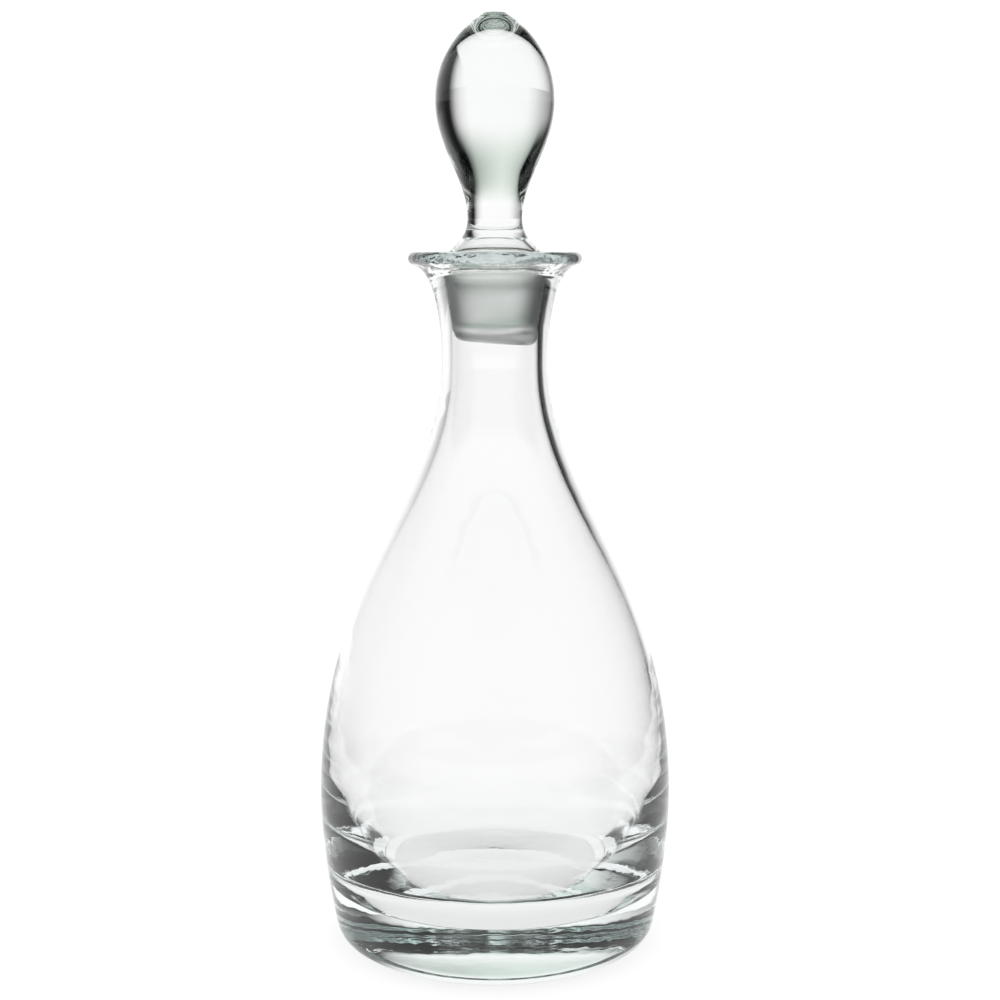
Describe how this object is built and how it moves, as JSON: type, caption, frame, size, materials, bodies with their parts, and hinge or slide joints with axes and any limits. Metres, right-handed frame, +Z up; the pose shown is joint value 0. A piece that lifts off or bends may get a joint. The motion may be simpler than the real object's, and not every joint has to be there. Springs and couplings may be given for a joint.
{
  "type": "wine decanter",
  "caption": "Clear glass wine decanter with a round bell-shaped body, a thick base and a flared lip, closed by a ground glass stopper with a pear-shaped knob.",
  "frame": {"origin": "centre of the flat ring under the base, on the surface that the decanter stands on", "axes": "+Z up along the axis of the body, neck and stopper; the plug's hand-ground end dips a little towards +X"},
  "size_m": [0.119, 0.119, 0.3098],
  "materials": {
    "clear_glass": "fire-polished clear blown glass, faint grey-green in thick places",
    "ground_glass": "clear glass with a fine-ground matt seat band, polished collar above it",
    "knob_glass": "polished clear glass, faint green in the thickness"
  },
  "bodies": {
    "decanter": {"decanter_body": "clear_glass"},
    "stopper": {"stopper_plug": "ground_glass", "stopper_knob": "knob_glass"}
  },
  "joints": [
    {"name": "stopper_lift", "type": "slide", "parent": "decanter", "child": "stopper", "axis": [0, 0, 1], "range_m": [0, 0.05]}
  ]
}
